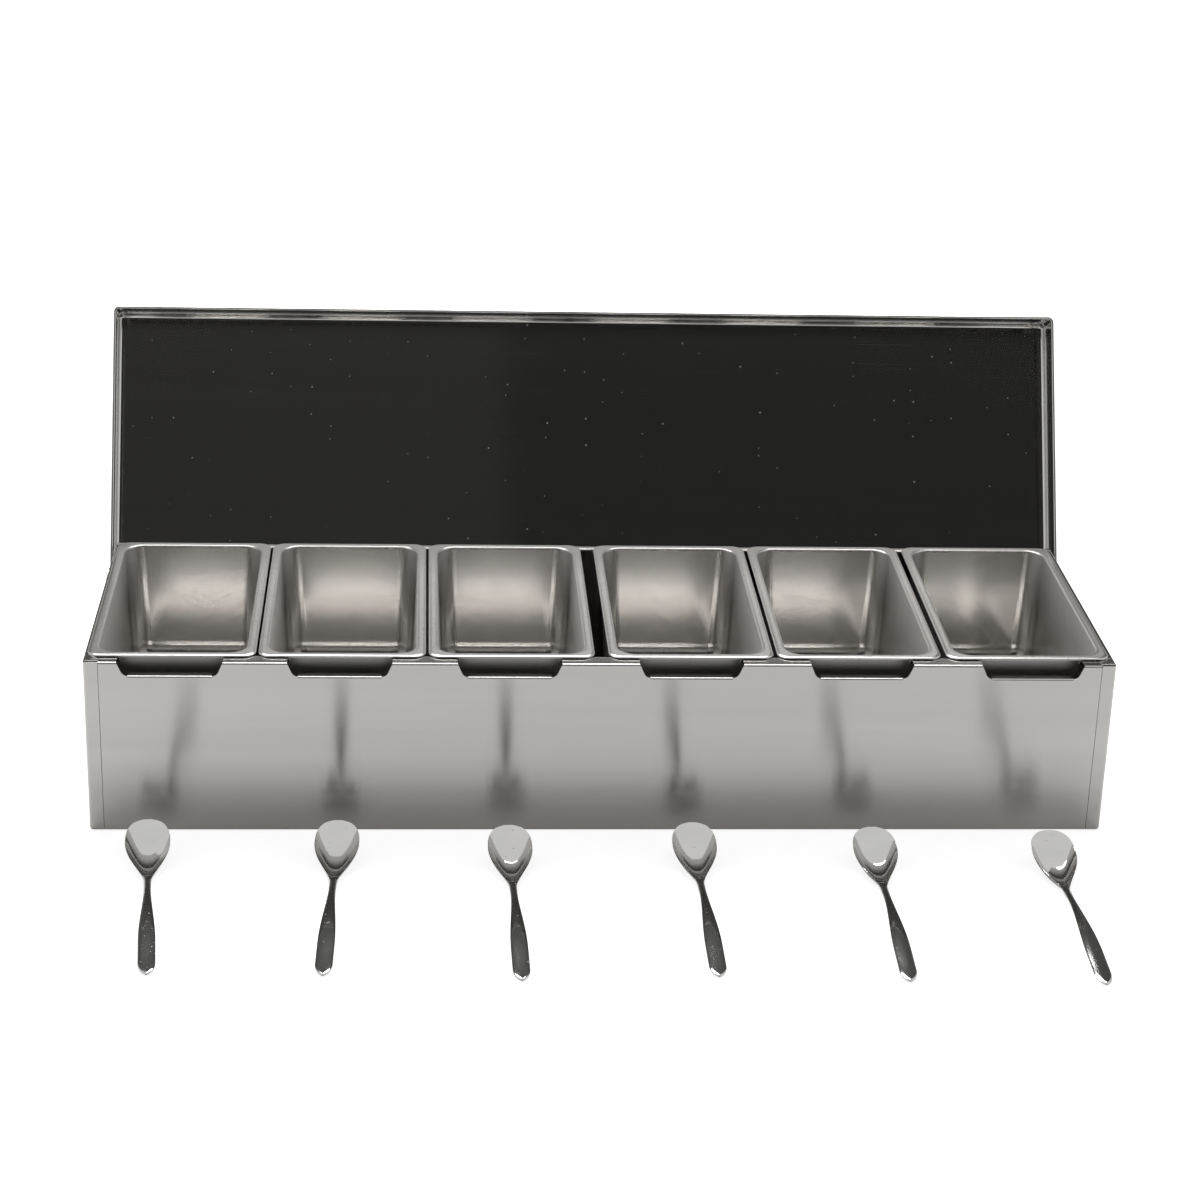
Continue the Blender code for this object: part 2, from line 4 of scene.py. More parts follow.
import bmesh
import bpy
import numpy as np
from mathutils import Matrix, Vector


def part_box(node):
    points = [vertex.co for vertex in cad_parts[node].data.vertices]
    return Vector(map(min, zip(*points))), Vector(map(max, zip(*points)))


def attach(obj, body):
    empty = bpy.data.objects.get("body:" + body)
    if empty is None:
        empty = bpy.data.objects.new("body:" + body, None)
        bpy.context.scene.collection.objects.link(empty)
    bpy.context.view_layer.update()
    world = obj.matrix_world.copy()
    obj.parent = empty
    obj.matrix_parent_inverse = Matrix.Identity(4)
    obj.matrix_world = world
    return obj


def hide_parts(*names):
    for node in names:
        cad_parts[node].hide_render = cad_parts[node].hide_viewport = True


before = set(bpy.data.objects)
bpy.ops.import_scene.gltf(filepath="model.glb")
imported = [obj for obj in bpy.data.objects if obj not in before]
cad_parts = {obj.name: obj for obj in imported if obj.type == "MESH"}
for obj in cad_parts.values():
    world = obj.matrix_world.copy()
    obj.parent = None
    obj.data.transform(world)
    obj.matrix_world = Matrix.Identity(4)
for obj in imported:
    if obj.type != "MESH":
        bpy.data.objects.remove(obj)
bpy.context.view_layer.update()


# Table and studio.
# A white table and room under one wide soft lamp. Dark cards hang in front, above the camera,
# where the open cover mirrors them, and a grey one behind, for the rims and the handles.

TABLE_SIDE, TABLE_DROP, TABLE_WHITE = 12.0, 0.0002, (0.84, 0.84, 0.84, 1)
# Each fade runs from one distance from the origin to another, and from one strength of the
# table's own glow to another: as the eye sees it, and as metal mirrors it.
EYE_FADE, METAL_FADE = (0.3, 1.1, 0.76, 1.0), (0.2, 0.6, 0.04, 0.24)
FRONT_CARD_Y, FRONT_CARD_Z, FRONT_CARD_UP = -1.605, 1.035, (0, -0.43, 1.88)
ROOM_GREY, ROOM_IN_METAL = (0.40, 0.40, 0.41, 1), 0.66
LAMP_POWER, LAMP_SIZE, LAMP_PLACE, LAMP_TILT = 26.0, (1.3, 0.6), (-0.10, 0.90, 1.50), -0.54
CAMERA_PLACE, CAMERA_LENS = (-0.09287, -1.35276, 0.65235), 82.40
CAMERA_DEGREES = (4.000, 22.332, 1.8195)


def blank_material(name):
    """New node material; gives back the material, its tree and its Principled shader."""
    mat = bpy.data.materials.new(name)
    mat.use_nodes = True
    return mat, mat.node_tree, mat.node_tree.nodes["Principled BSDF"]


def node(tree, kind, **values):
    """Add a shader node and set the plain values of its named inputs or settings."""
    made = tree.nodes.new(kind)
    for name, value in values.items():
        title = name.replace("_", " ")
        if title in made.inputs:
            made.inputs[title].default_value = value
        else:
            setattr(made, name, value)
    return made


def math_node(tree, operation, *terms):
    """Result of one Math node on up to three terms, each a number or an output socket."""
    made = node(tree, "ShaderNodeMath", operation=operation)
    for socket, term in zip(made.inputs, terms):
        if isinstance(term, (int, float)):
            socket.default_value = term
        else:
            tree.links.new(term, socket)
    return made.outputs[0]


def remap(tree, value, low, high, to_low, to_high):
    """Carry low to to_low and high to to_high along a straight line, held level outside."""
    made = node(tree, "ShaderNodeMapRange", From_Min=low, From_Max=high, To_Min=to_low, To_Max=to_high)
    tree.links.new(value, made.inputs["Value"])
    return made.outputs[0]


def rectangle(name, centre, across, up, material):
    """Flat four-cornered stage piece: centre plus or minus half of each of two edge vectors."""
    centre, across, up = (np.asarray(v, float) for v in (centre, across, up))
    corners = centre + np.array([[-1, -1], [1, -1], [1, 1], [-1, 1]]) @ np.stack([across, up]) / 2
    mesh = bpy.data.meshes.new(name)
    mesh.from_pydata(corners.tolist(), [], [(0, 1, 2, 3)])
    mesh.materials.append(material)
    obj = bpy.data.objects.new(name, mesh)
    bpy.context.scene.collection.objects.link(obj)
    return obj


# The table turns plain white away from the box, where no shadow falls.
table_white, tree, shader = blank_material("table_white")
shader.inputs["Base Color"].default_value = TABLE_WHITE
shader.inputs["Roughness"].default_value = 0.9
shader.inputs["Specular IOR Level"].default_value = 0.0
shader.inputs["Emission Color"].default_value = (1, 1, 1, 1)
rays = node(tree, "ShaderNodeLightPath")
spot = node(tree, "ShaderNodeTexCoord")
distance = node(tree, "ShaderNodeVectorMath", operation="LENGTH")
tree.links.new(spot.outputs["Object"], distance.inputs[0])
eye_glow = remap(tree, distance.outputs["Value"], *EYE_FADE)
metal_glow = remap(tree, distance.outputs["Value"], *METAL_FADE)
for_eye = math_node(tree, "MULTIPLY", rays.outputs["Is Camera Ray"], eye_glow)
for_metal = math_node(tree, "MULTIPLY", rays.outputs["Is Glossy Ray"], metal_glow)
tree.links.new(math_node(tree, "ADD", for_eye, for_metal), shader.inputs["Emission Strength"])
rectangle("table_top", (0, 0, -TABLE_DROP), (TABLE_SIDE, 0, 0), (0, TABLE_SIDE, 0), table_white)


def reflected_card(name, tone, centre, width, up):
    """A card, level along X, that the camera doesn't see: it gives off its tone and casts no
    shadow. Up is the vector along its other edge."""
    paint, tree, shader = blank_material(name)
    shader.inputs["Base Color"].default_value = (0, 0, 0, 1)
    shader.inputs["Specular IOR Level"].default_value = 0.0
    shader.inputs["Emission Color"].default_value = (*tone, 1)
    shader.inputs["Emission Strength"].default_value = 1.0
    card = rectangle(name, centre, (width, 0, 0), up, paint)
    card.visible_camera = False
    card.visible_shadow = False


for word, tone, x, width in (("left", (0.034, 0.034, 0.033), -0.805, 1.65),
                             ("right", (0.023, 0.0235, 0.0225), 0.855, 1.67)):
    reflected_card(f"dark_card_{word}", tone, (x, FRONT_CARD_Y, FRONT_CARD_Z), width, FRONT_CARD_UP)
reflected_card("dark_card_behind", (0.085, 0.085, 0.084), (0.0, 1.70, 1.45), 3.2, (0, 0.30, 2.30))

# The room is white to the eye and paler in metal than the plain grey light that it gives.
world = bpy.data.worlds.new("white_room")
bpy.context.scene.world = world
world.use_nodes = True
sky = world.node_tree.nodes["Background"]
rays = node(world.node_tree, "ShaderNodeLightPath")
plain = node(world.node_tree, "ShaderNodeMix", data_type="RGBA")
plain.inputs[6].default_value = ROOM_GREY
plain.inputs[7].default_value = (1, 1, 1, 1)
metal_share = math_node(world.node_tree, "MULTIPLY", rays.outputs["Is Glossy Ray"], ROOM_IN_METAL)
seen = math_node(world.node_tree, "MAXIMUM", rays.outputs["Is Camera Ray"], metal_share)
world.node_tree.links.new(seen, plain.inputs[0])
world.node_tree.links.new(plain.outputs[2], sky.inputs["Color"])
sky.inputs["Strength"].default_value = 1.0

lamp = bpy.data.lights.new("overhead_softbox", "AREA")
lamp.shape = "RECTANGLE"
lamp.size, lamp.size_y = LAMP_SIZE
lamp.energy = LAMP_POWER
lamp_obj = bpy.data.objects.new("overhead_softbox", lamp)
lamp_obj.location = LAMP_PLACE
lamp_obj.rotation_euler = (LAMP_TILT, 0.0, 0.0)
bpy.context.scene.collection.objects.link(lamp_obj)

# The camera stands left of the middle, looks down on the box and is a little tilted.
yaw, pitch, roll = np.radians(CAMERA_DEGREES)
forward = np.array([np.sin(yaw) * np.cos(pitch), np.cos(yaw) * np.cos(pitch), -np.sin(pitch)])
level = np.array([np.cos(yaw), -np.sin(yaw), 0.0])
above = np.cross(level, forward)
right = np.cos(roll) * level + np.sin(roll) * above
top = np.cos(roll) * above - np.sin(roll) * level
camera = bpy.data.objects.new("camera", bpy.data.cameras.new("camera"))
camera.data.lens = CAMERA_LENS
camera.data.sensor_width = 36.0
camera.data.clip_end = 50.0
turn = Matrix(np.stack([right, top, -forward], axis=1).tolist()).to_4x4()
camera.matrix_world = Matrix.Translation(CAMERA_PLACE) @ turn
bpy.context.scene.collection.objects.link(camera)
bpy.context.scene.camera = camera
bpy.context.scene.view_settings.view_transform = "Standard"


# Housing: front, floor and rear in one piece.
# Brushed stainless sheet 0.8 mm thick, cut flat and folded on a press brake; six finger notches
# are pressed through the front seat, and lips stepped in at the ends take the end plates' welds.

low, high = (np.array(v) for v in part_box("housing_wrap"))
FRONT, REAR, SEAT = low[1], high[1], high[2]
SHEET, CLEARANCE, WRAP_HALF = 0.0008, 0.0003, 0.25495
SEAT_FOLD, FLOOR_FOLD = 0.0010, 0.0016
FRONT_SEAT, REAR_SEAT, SEAT_LIP = -0.0725, 0.0779, 0.0030
NOTCH_CENTRES = np.array([-0.219345, -0.134190, -0.048405, 0.043995, 0.131355, 0.219555])
NOTCH_TOP_HALF, NOTCH_FLARE, NOTCH_DEPTH, NOTCH_CORNER = 0.0265, 0.0032, 0.0074, 0.0022
NOTCH_LIP, NOTCH_LIP_BEND = 0.0045, 0.0009
WELD_LIP_IN, WELD_LIP_OUT, WELD_LIP_SHORT, WELD_LIP_FOLD = 0.2520, 0.2614, 0.004, 0.0012
# How far from a bend or a notch the next row or column of the grid stands, so that flats shade flat.
GUARD_ROW, GUARD_COLUMN, CORNER_ROWS = 0.0005, 0.0008, 7


def fillet_path(corners, radius, steps=6, guard=0.0004):
    """Open path through corner points with each inner corner rounded off. Two tangent points
    lie at radius / tan(half the corner's angle) from the corner, and the arc between them is
    the spherical blend of the two spokes from its centre. A guard point stands on the
    straight just outside each arc, so that flats shade flat. Radius is one or a list."""
    corners = np.asarray(corners, float)
    inner = corners[1:-1]
    radius = np.broadcast_to(radius, len(inner))[:, None]
    before = corners[:-2] - inner
    after = corners[2:] - inner
    before /= np.linalg.norm(before, axis=1, keepdims=True)
    after /= np.linalg.norm(after, axis=1, keepdims=True)
    half = np.arccos(np.clip((before * after).sum(1, keepdims=True), -1, 1)) / 2
    reach = radius / np.tan(half)
    middle = before + after
    middle /= np.linalg.norm(middle, axis=1, keepdims=True)
    centre = inner + middle * radius / np.sin(half)
    spoke_in = inner + before * reach - centre
    spoke_out = inner + after * reach - centre
    sweep = (np.pi - 2 * half)[:, None, :]
    t = np.linspace(0, 1, steps + 1)[None, :, None]
    arc = np.sin((1 - t) * sweep) * spoke_in[:, None] + np.sin(t * sweep) * spoke_out[:, None]
    arc = centre[:, None] + arc / np.sin(sweep)
    first = (inner + before * (reach + guard))[:, None]
    last = (inner + after * (reach + guard))[:, None]
    rounded = np.concatenate([first, arc, last], axis=1).reshape(-1, corners.shape[1])
    return np.concatenate([corners[:1], rounded, corners[-1:]])


def carried_along_x(path, x):
    """Grid of points (rows, columns, 3) of an open path (y, z) carried along X: row r holds the
    path's point r at each place in x, which is one row for the whole path or one for each point."""
    x = np.broadcast_to(x, (len(path), np.shape(x)[-1]))
    y = np.broadcast_to(path[:, :1], x.shape)
    z = np.broadcast_to(path[:, 1:], x.shape)
    return np.stack([x, y, z], -1)


def grid_patch(points, keep=None, wrap=False):
    """Vertices and quads of a grid of points (rows, columns, 3). Quad (r, c) joins its four
    neighbours in the order column, then row; keep marks the quads that are wanted, and wrap
    joins the last column to the first."""
    rows, cols = points.shape[:2]
    index = np.arange(rows * cols).reshape(rows, cols)
    if wrap:
        index = np.concatenate([index, index[:, :1]], axis=1)
    quads = np.stack([index[:-1, :-1], index[:-1, 1:], index[1:, 1:], index[1:, :-1]], axis=-1)
    if keep is not None:
        quads = quads[keep]
    return points.reshape(-1, 3), quads.reshape(-1, 4)


def piece(name, patches, material, sharp=30, caps=(), solid=False):
    """One mesh object from several grid patches, with shared points welded. Caps are rings of
    vertex numbers, counted over all the patches, that get one flat face each. Sharp is the
    angle in degrees from which an edge shows, and solid turns all faces outwards."""
    verts, faces, count = [], [], 0
    for points, quads in patches:
        verts.append(points)
        faces += (quads + count).tolist()
        count += len(points)
    faces += [list(ring) for ring in caps]
    mesh = bpy.data.meshes.new(name)
    mesh.from_pydata(np.concatenate(verts).tolist(), [], faces)
    bm = bmesh.new()
    bm.from_mesh(mesh)
    bmesh.ops.remove_doubles(bm, verts=bm.verts, dist=2e-6)
    bmesh.ops.delete(bm, geom=[v for v in bm.verts if not v.link_faces], context="VERTS")
    if solid:
        bmesh.ops.recalc_face_normals(bm, faces=bm.faces)
    bm.to_mesh(mesh)
    bm.free()
    mesh.materials.append(material)
    mesh.shade_smooth()
    mesh.set_sharp_from_angle(angle=np.radians(sharp))
    obj = bpy.data.objects.new(name, mesh)
    bpy.context.scene.collection.objects.link(obj)
    return obj


def give_gauge(obj, thickness, edge=0.00018, back=None):
    """Thickness inwards from the drawn face, and the cut edges just broken. Back is a material
    of its own for the far side."""
    gauge = obj.modifiers.new("gauge", "SOLIDIFY")
    if back:
        obj.data.materials.append(back)
        gauge.material_offset = 1
    gauge.thickness = thickness
    gauge.offset = -1.0
    gauge.use_even_offset = True
    broken = obj.modifiers.new("broken_edge", "BEVEL")
    broken.width = edge
    broken.segments = 2
    broken.limit_method = "ANGLE"
    broken.angle_limit = np.radians(50)
    broken.harden_normals = True


def new_group(name, inputs, outputs):
    """Shader node group with inputs and outputs given as (title, kind of socket). Gives back
    the group and the two nodes that hold its inputs and its outputs."""
    group = bpy.data.node_groups.new(name, "ShaderNodeTree")
    for way, sockets in (("INPUT", inputs), ("OUTPUT", outputs)):
        for title, kind in sockets:
            group.interface.new_socket(title, in_out=way, socket_type=f"NodeSocket{kind}")
    return group, group.nodes.new("NodeGroupInput"), group.nodes.new("NodeGroupOutput")


# Grain left by the sanding belt: noise drawn out along X, fine and broad, 0 to 1. The broad noise
# has only a share of the fine one's lines.
BROAD_SHARE = 0.13
rolled_grain, given, made = new_group(
    "rolled_grain", [("Vector", "Vector"), ("Lines per Metre", "Float"), ("Draw Out", "Float")],
    [("Grain", "Float"), ("Broad", "Float")])
links = rolled_grain.links
thin_along = node(rolled_grain, "ShaderNodeCombineXYZ", Y=1.0, Z=1.0)
links.new(given.outputs["Draw Out"], thin_along.inputs["X"])
drawn = node(rolled_grain, "ShaderNodeVectorMath", operation="MULTIPLY")
links.new(given.outputs["Vector"], drawn.inputs[0])
links.new(thin_along.outputs[0], drawn.inputs[1])
fine = node(rolled_grain, "ShaderNodeTexNoise", Detail=3.0, Roughness=0.6)
links.new(drawn.outputs[0], fine.inputs["Vector"])
links.new(given.outputs["Lines per Metre"], fine.inputs["Scale"])
broad = node(rolled_grain, "ShaderNodeTexNoise", Detail=2.0, Roughness=0.5)
links.new(drawn.outputs[0], broad.inputs["Vector"])
broad_lines = math_node(rolled_grain, "MULTIPLY", given.outputs["Lines per Metre"], BROAD_SHARE)
links.new(broad_lines, broad.inputs["Scale"])
links.new(fine.outputs["Fac"], made.inputs["Grain"])
links.new(broad.outputs["Fac"], made.inputs["Broad"])

# The broad grain tints the steel from a darker to a paler share of its colour. The level grain
# round a wall runs square to the wall's normal and to nearly up: were it straight up, a level
# face would have no direction.
DARK_TINT, PALE_TINT, NEARLY_UP, QUARTER_TURN = 0.93, 1.06, (0.02, 0.03, 1.0), 0.25


def brushed_steel(name, colour, roughness, spread, depth, lines=900.0, draw_out=0.02,
                  round_walls=False, uneven=0.12):
    """Stainless sheet with a grain along X, or level round the walls. Spread is the
    anisotropy, depth the height in metres of the grain's lines, and uneven the share by which
    the roughness goes up and down with them."""
    mat, tree, shader = blank_material(name)
    where = node(tree, "ShaderNodeTexCoord")
    grain = node(tree, "ShaderNodeGroup")
    grain.node_tree = rolled_grain
    grain.inputs["Lines per Metre"].default_value = lines
    grain.inputs["Draw Out"].default_value = draw_out
    tree.links.new(where.outputs["Object"], grain.inputs["Vector"])
    tint = node(tree, "ShaderNodeVectorMath", operation="SCALE")
    tint.inputs[0].default_value = colour
    tree.links.new(remap(tree, grain.outputs["Broad"], 0, 1, DARK_TINT, PALE_TINT), tint.inputs["Scale"])
    tree.links.new(tint.outputs[0], shader.inputs["Base Color"])
    rub = remap(tree, grain.outputs["Grain"], 0, 1, roughness * (1 - uneven), roughness * (1 + uneven))
    tree.links.new(rub, shader.inputs["Roughness"])
    relief = node(tree, "ShaderNodeBump", Strength=1.0, Distance=depth)
    tree.links.new(grain.outputs["Grain"], relief.inputs["Height"])
    tree.links.new(relief.outputs[0], shader.inputs["Normal"])
    shader.inputs["Metallic"].default_value = 1.0
    shader.inputs["Anisotropic"].default_value = spread
    shader.inputs["Anisotropic Rotation"].default_value = QUARTER_TURN
    if round_walls:
        face = node(tree, "ShaderNodeNewGeometry")
        along = node(tree, "ShaderNodeVectorMath", operation="CROSS_PRODUCT")
        along.inputs[0].default_value = NEARLY_UP
        tree.links.new(face.outputs["Normal"], along.inputs[1])
    else:
        along = node(tree, "ShaderNodeCombineXYZ", X=1.0)
    tree.links.new(along.outputs[0], shader.inputs["Tangent"])
    return mat


def vary_roughness(mat, source, output, low, high, share, along=(0, 0, 1)):
    """Times the roughness by 1 up to low and by the share from high on, as measured along a
    direction in a vector output of a source node."""
    tree = mat.node_tree
    feed = tree.nodes["Principled BSDF"].inputs["Roughness"]
    was = feed.links[0].from_socket
    measure = node(tree, "ShaderNodeVectorMath", operation="DOT_PRODUCT")
    measure.inputs[1].default_value = along
    tree.links.new(node(tree, source).outputs[output], measure.inputs[0])
    times = remap(tree, measure.outputs["Value"], low, high, 1.0, share)
    tree.links.new(math_node(tree, "MULTIPLY", was, times), feed)


# The belt leaves the level seats alone, so they stay brighter than the panels.
housing_steel = brushed_steel("housing_steel", (0.62, 0.605, 0.58), roughness=0.17, spread=1.0, depth=3e-6)
vary_roughness(housing_steel, "ShaderNodeNewGeometry", "Normal", low=0.6, high=0.9, share=0.5)

# The sheet's path from the rear seat's lip round to the front seat's. Up to where the notches' lips
# start to bend in, its rows are whole; above that they have a gap at each notch.
foot = SEAT - NOTCH_DEPTH
bend_start = foot - NOTCH_LIP_BEND
rear_part = fillet_path([(REAR_SEAT, SEAT - SEAT_LIP), (REAR_SEAT, SEAT), (REAR, SEAT), (REAR, 0),
                         (FRONT, 0), (FRONT, bend_start - GUARD_ROW)],
                        (SEAT_FOLD, SEAT_FOLD, FLOOR_FOLD, FLOOR_FOLD))
rear_part = np.concatenate([rear_part, [(FRONT, bend_start)]])
rise = NOTCH_CORNER * (1 - np.cos(np.linspace(0, np.pi / 2, CORNER_ROWS)))
rising = np.stack([np.full(len(rise), FRONT), foot + rise], axis=1)
front_part = fillet_path([(FRONT, foot + NOTCH_CORNER), (FRONT, SEAT), (FRONT_SEAT, SEAT),
                          (FRONT_SEAT, SEAT - SEAT_LIP)], SEAT_FOLD)[1:]
profile = np.concatenate([rear_part, rising, front_part])

# Half the width of a notch at each row: it narrows by the flare down to the foot, where its two
# corners are quarter circles.
above_foot = np.where(np.arange(len(profile)) < len(rear_part), 0.0, profile[:, 1] - foot)
in_corner = np.clip(NOTCH_CORNER - above_foot, 0, None)
half_width = (NOTCH_TOP_HALF - NOTCH_FLARE * (1 - above_foot / NOTCH_DEPTH)
              - NOTCH_CORNER + np.sqrt(np.clip(NOTCH_CORNER ** 2 - in_corner ** 2, 0, None)))

# Columns of the grid, as a fixed place and a share of the notch's half width. Each notch has four,
# and the quads between its middle two are left out.
straight = NOTCH_TOP_HALF + GUARD_COLUMN
fixed = (NOTCH_CENTRES[:, None] + np.array([-straight, 0, 0, straight])).reshape(-1)
fixed = np.concatenate([[-WRAP_HALF], fixed, [WRAP_HALF]])
share = np.concatenate([[0], np.tile([0.0, -1.0, 1.0, 0.0], len(NOTCH_CENTRES)), [0]])
sheet = carried_along_x(profile, fixed[None, :] + share[None, :] * half_width[:, None])
keep = np.ones((sheet.shape[0] - 1, sheet.shape[1] - 1), bool)
keep[len(rear_part) - 1:, 2:-1:4] = False
patches = [grid_patch(sheet, keep)]

notch_lip = fillet_path([(FRONT, bend_start), (FRONT, foot), (FRONT + NOTCH_LIP, foot)],
                        NOTCH_LIP_BEND, guard=0.0)
lip_half = NOTCH_TOP_HALF - NOTCH_FLARE - NOTCH_CORNER
for centre in NOTCH_CENTRES:
    patches.append(grid_patch(carried_along_x(notch_lip, (centre - lip_half, centre + lip_half))))

step_in = SHEET + CLEARANCE
weld_lip = fillet_path([(REAR - step_in, SEAT - WELD_LIP_SHORT), (REAR - step_in, step_in),
                        (FRONT + step_in, step_in), (FRONT + step_in, SEAT - WELD_LIP_SHORT)],
                       WELD_LIP_FOLD)
for ends in ((-WELD_LIP_OUT, -WELD_LIP_IN), (WELD_LIP_IN, WELD_LIP_OUT)):
    patches.append(grid_patch(carried_along_x(weld_lip, ends)))

# Flat strips carry the seats on to the end plates.
seat_strips = np.array([[(REAR - step_in, SEAT), (REAR_SEAT + SEAT_FOLD, SEAT)],
                        [(FRONT_SEAT - SEAT_FOLD, SEAT), (FRONT + step_in, SEAT)]])
for ends in ((-WELD_LIP_OUT, -WRAP_HALF), (WRAP_HALF, WELD_LIP_OUT)):
    for strip in seat_strips:
        patches.append(grid_patch(carried_along_x(strip, ends)))

wrap = piece("folded_housing", patches, housing_steel)
give_gauge(wrap, SHEET)
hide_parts("housing_wrap")
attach(wrap, "housing")


# End plates.
# The same brushed sheet, each plate with its front, floor and rear edges folded round onto the
# housing and spot welded there; a hairline seam shows where the fold ends on the front.

PLATE_OUT, PLATE_SEAM = 0.2625, 0.2551
# The row where a flat face starts, past its fold, and the least radius of a corner in plan.
FLAT_ROW, LEAST_CORNER = 0.0006, 0.0003


def flange_rows(section, half, nose, corner, stops):
    """Carry a section (inset, height) round a U-shaped outline, open at the stops: each row is
    the outline moved in by the inset, its corner radius less by the same."""
    rows = []
    for inset, height in section:
        side = half - inset
        base = nose + inset
        bent = fillet_path([(-side, stops[0]), (-side, base), (side, base), (side, stops[0])],
                           max(corner - inset, LEAST_CORNER))
        beyond = np.array([(side, stop) for stop in stops[1:]]).reshape(-1, 2)
        plan = np.concatenate([beyond[::-1] * (-1, 1), bent, beyond])
        rows.append(np.column_stack([plan, np.full(len(plan), height)]))
    return np.array(rows)


def last_row(grid):
    """Vertex numbers of the last row of a grid of points (rows, columns, 3)."""
    rows, cols = grid.shape[:2]
    return np.arange((rows - 1) * cols, rows * cols)


plate_fold = fillet_path([(0.0, PLATE_SEAM), (0.0, PLATE_OUT), (FLOOR_FOLD + FLAT_ROW, PLATE_OUT)],
                         FLOOR_FOLD)
for side, word in ((-1, "left"), (1, "right")):
    y, z, x = np.moveaxis(flange_rows(plate_fold, REAR, 0.0, FLOOR_FOLD, (SEAT,)), -1, 0)
    rows = np.stack([side * x, side * y, z], -1)
    plate = piece(f"folded_end_{word}", [grid_patch(rows)], housing_steel, caps=[last_row(rows)])
    give_gauge(plate, SHEET)
    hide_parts(f"end_plate_{word}")
    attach(plate, "housing")


# Cover.
# Bright rolled sheet with its front and sides folded to shallow flanges, their free edges hemmed;
# an ear at each rear end takes the hinge pin. It leans back against the housing's rear edge.

PIVOT_IN, PIVOT_DOWN, OPEN = 0.0140, 0.0170, np.radians(117)
COVER_SHEET, COVER_EDGE = 0.00078, 0.00012
COVER_HALF, COVER_FRONT, COVER_REAR, COVER_DROP = 0.2656, -0.1542, 0.01796, 0.026
COVER_FOLD, COVER_CORNER, EAR = 0.0030, 0.0034, 0.0075
HEM, HEM_END, HEM_ROUND, HEM_FLAT = 0.0050, -0.0083, 0.0008, 0.0012
HEM_ROWS, EAR_COLUMNS, EAR_ROWS = 9, 25, 5


def swung_open(points):
    """Turn points, drawn shut and from the hinge, by the opening angle round X."""
    x, y, z = np.moveaxis(points, -1, 0)
    turned = np.stack([x, y * np.cos(OPEN) + z * np.sin(OPEN), z * np.cos(OPEN) - y * np.sin(OPEN)], -1)
    return turned + (0.0, REAR - PIVOT_IN, SEAT - PIVOT_DOWN)


# The hem runs down the inside of the flange and turns outwards in a half circle, and the fold
# runs on up the flange and over to the broad face.
half_turn = np.linspace(0, np.pi, HEM_ROWS)
hem = HEM_ROUND * np.column_stack([1 + np.cos(half_turn), 1 - np.sin(half_turn)])
hem = np.concatenate([[(2 * HEM_ROUND, HEM), (2 * HEM_ROUND, HEM_FLAT)], hem])
fold = fillet_path([(0.0, HEM_FLAT), (0.0, COVER_DROP), (COVER_FOLD + FLAT_ROW, COVER_DROP)], COVER_FOLD)
section = np.concatenate([hem, fold])
rows = swung_open(flange_rows(section, COVER_HALF, COVER_FRONT, COVER_CORNER, (HEM_END, COVER_REAR)))
keep = np.ones((rows.shape[0] - 1, rows.shape[1] - 1), bool)
keep[:len(hem) - 1, [0, -1]] = False
patches = [grid_patch(rows, keep)]

# An ear is a half disc below the flange: rows blend from its round edge up to the flange's edge.
swing = np.linspace(-np.pi / 2, np.pi / 2, EAR_COLUMNS)[None, :]
t = np.linspace(0, 1, EAR_ROWS)[:, None]
z = HEM_ROUND * t - EAR * np.cos(swing) * (1 - t)
y = np.broadcast_to(EAR * np.sin(swing), z.shape)
for side in (-1, 1):
    ear = np.stack([np.full(z.shape, side * COVER_HALF), y, z], -1)
    patches.append(grid_patch(swung_open(ear[:, ::side])))

# Hairline scratches along X and specks of dust, each a mask from 0 to 1 over the vector's X and Y.
# A speck's radius is its size times a power of its cell's chance, so most are tiny. Scratches are
# where a noise with few cells per metre along X and many across comes near its highest.
CHANCE_POWER, HAIR_CELLS, HAIR_FROM, HAIR_FULL = 6.0, (9.0, 1600.0, 0.0), 0.68, 0.74
wear_marks, given, made = new_group(
    "wear_marks", [("Vector", "Vector"), ("Specks per Metre", "Float"), ("Speck Size", "Float")],
    [("Scratch", "Float"), ("Dust", "Float")])
links = wear_marks.links
cells = node(wear_marks, "ShaderNodeTexVoronoi", voronoi_dimensions="2D")
links.new(given.outputs["Vector"], cells.inputs["Vector"])
links.new(given.outputs["Specks per Metre"], cells.inputs["Scale"])
chance = node(wear_marks, "ShaderNodeSeparateColor")
links.new(cells.outputs["Color"], chance.inputs[0])
speck = math_node(wear_marks, "POWER", chance.outputs[0], CHANCE_POWER)
speck = math_node(wear_marks, "MULTIPLY", speck, given.outputs["Speck Size"])
links.new(math_node(wear_marks, "LESS_THAN", cells.outputs["Distance"], speck), made.inputs["Dust"])
flat_out = node(wear_marks, "ShaderNodeVectorMath", operation="MULTIPLY")
flat_out.inputs[1].default_value = HAIR_CELLS
links.new(given.outputs["Vector"], flat_out.inputs[0])
hairs = node(wear_marks, "ShaderNodeTexNoise", Scale=1.0, Detail=1.0)
links.new(flat_out.outputs[0], hairs.inputs["Vector"])
scratch = remap(wear_marks, hairs.outputs["Fac"], HAIR_FROM, HAIR_FULL, 0.0, 1.0)
links.new(scratch, made.inputs["Scratch"])

# Dust shows only where the cosine between the face's normal and the plane's is over the last value.
DUST_COLOUR, DUST_ROUGHNESS, LEAST_FACING = (0.85, 0.85, 0.84, 1), 0.8, 0.5


